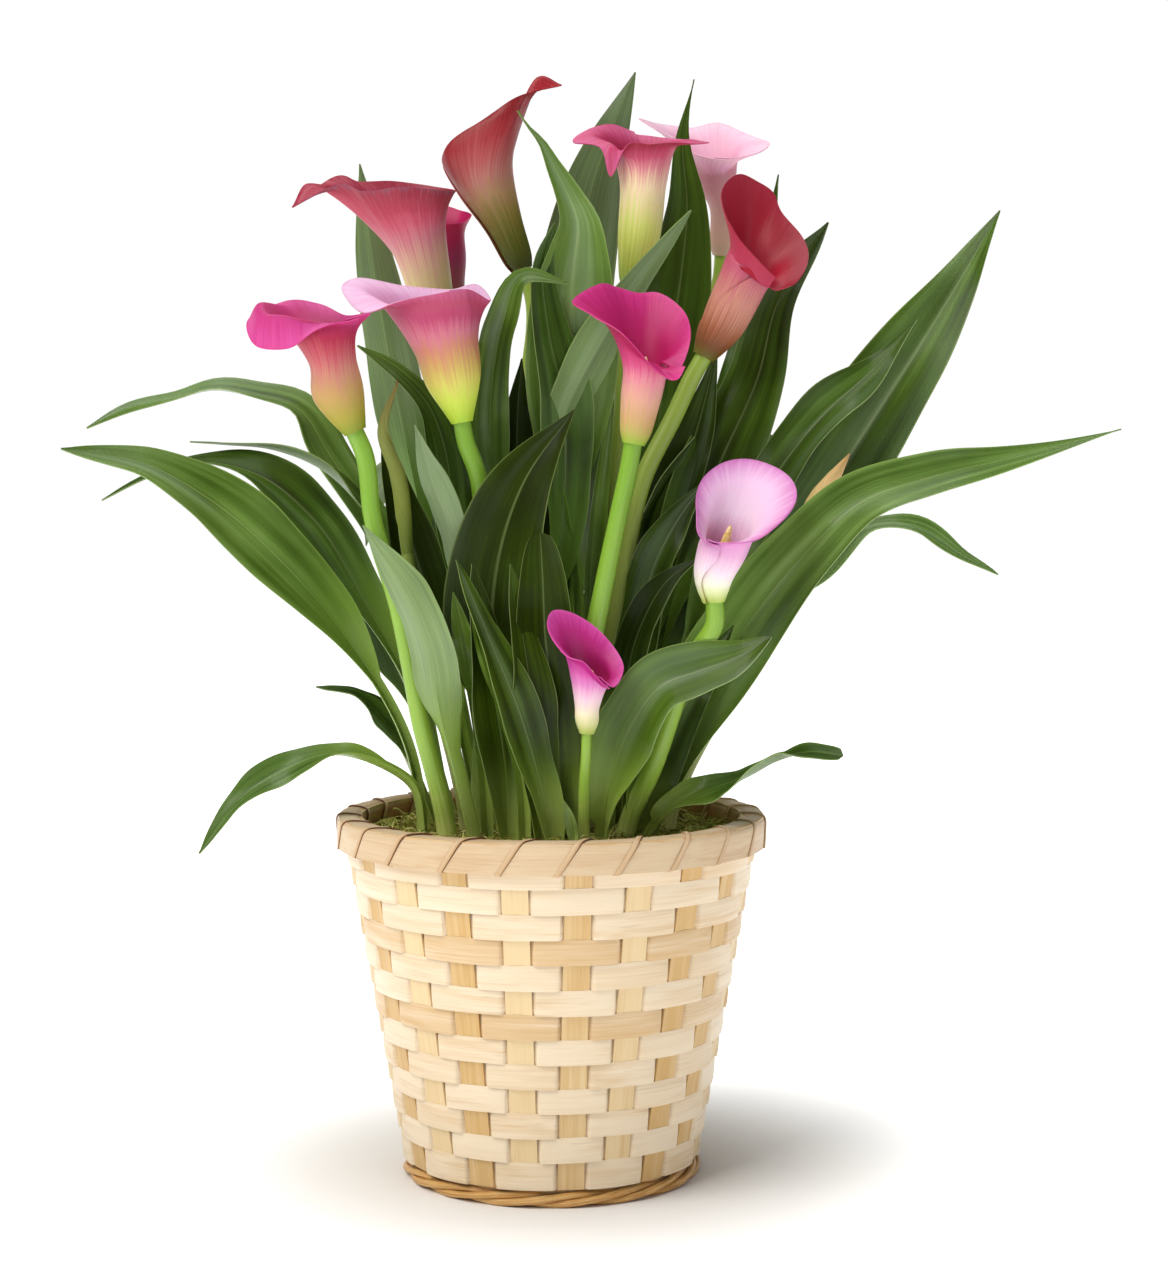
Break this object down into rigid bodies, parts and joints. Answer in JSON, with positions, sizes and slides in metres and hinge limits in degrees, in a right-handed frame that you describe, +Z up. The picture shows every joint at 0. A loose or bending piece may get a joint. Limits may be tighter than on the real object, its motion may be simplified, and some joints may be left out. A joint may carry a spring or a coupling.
{
  "type": "potted calla lily",
  "caption": "Calla lily with pink and crimson flowers and long lance-shaped leaves, growing in a round basket woven from flat bamboo splints.",
  "frame": {"origin": "middle of the basket's flat underside", "axes": "+Z up along the basket's axis; the front of the plant faces -Y, its longest right-hand leaf points to +X"},
  "size_m": [0.4412, 0.262, 0.4772],
  "materials": {
    "stake_bamboo": "matt split bamboo, tan",
    "weaver_bamboo": "satin bleached bamboo splint",
    "rim_bamboo": "satin bamboo splint",
    "foot_cord": "glossy golden twisted splint",
    "liner_plastic": "matt dark green plastic",
    "soil": "crumbly dark peat mix",
    "moss": "rough dry moss",
    "leaf": "satin, finely ribbed, dark green",
    "stalk": "smooth satin, yellow-green",
    "spathe_pink": "satin, streaked pink over green-yellow",
    "spathe_crimson": "satin, streaked dark red over olive",
    "spathe_magenta": "satin, bright magenta over peach",
    "spathe_blush": "satin, pale pink over cream"
  },
  "bodies": {
    "root": {"bud_01": "stalk", "bud_02": "stalk", "flower_stem_01": "stalk", "flower_stem_02": "stalk", "flower_stem_03": "stalk", "flower_stem_04": "stalk", "flower_stem_05": "stalk", "flower_stem_06": "stalk", "flower_stem_07": "stalk", "flower_stem_08": "stalk", "flower_stem_09": "stalk", "flower_stem_10": "stalk", "flower_stem_11": "stalk", "foot_strand_1": "foot_cord", "foot_strand_2": "foot_cord", "foot_strand_3": "foot_cord", "leaf_01": "leaf", "leaf_02": "leaf", "leaf_03": "leaf", "leaf_04": "leaf", "leaf_05": "leaf", "leaf_06": "leaf", "leaf_07": "leaf", "leaf_08": "leaf", "leaf_09": "leaf", "leaf_10": "leaf", "leaf_11": "leaf", "leaf_12": "leaf", "leaf_13": "leaf", "leaf_14": "leaf", "leaf_15": "leaf", "leaf_16": "leaf", "leaf_17": "leaf", "leaf_18": "leaf", "leaf_19": "leaf", "leaf_20": "leaf", "leaf_21": "leaf", "leaf_22": "leaf", "leaf_23": "leaf", "leaf_24": "leaf", "leaf_25": "leaf", "liner_pot": "liner_plastic", "moss_top": "moss", "potting_soil": "soil", "rim_hoop_inner": "rim_bamboo", "rim_hoop_outer": "rim_bamboo", "rim_lashing": "rim_bamboo", "spathe_01": "spathe_pink", "spathe_02": "spathe_blush", "spathe_03": "spathe_crimson", "spathe_04": "spathe_crimson", "spathe_05": "spathe_pink", "spathe_06": "spathe_blush", "spathe_07": "spathe_crimson", "spathe_08": "spathe_magenta", "spathe_09": "spathe_blush", "spathe_10": "spathe_magenta", "spathe_11": "spathe_magenta", "splint_frame": "stake_bamboo", "weaver_strip": "weaver_bamboo"}
  },
  "joints": []
}
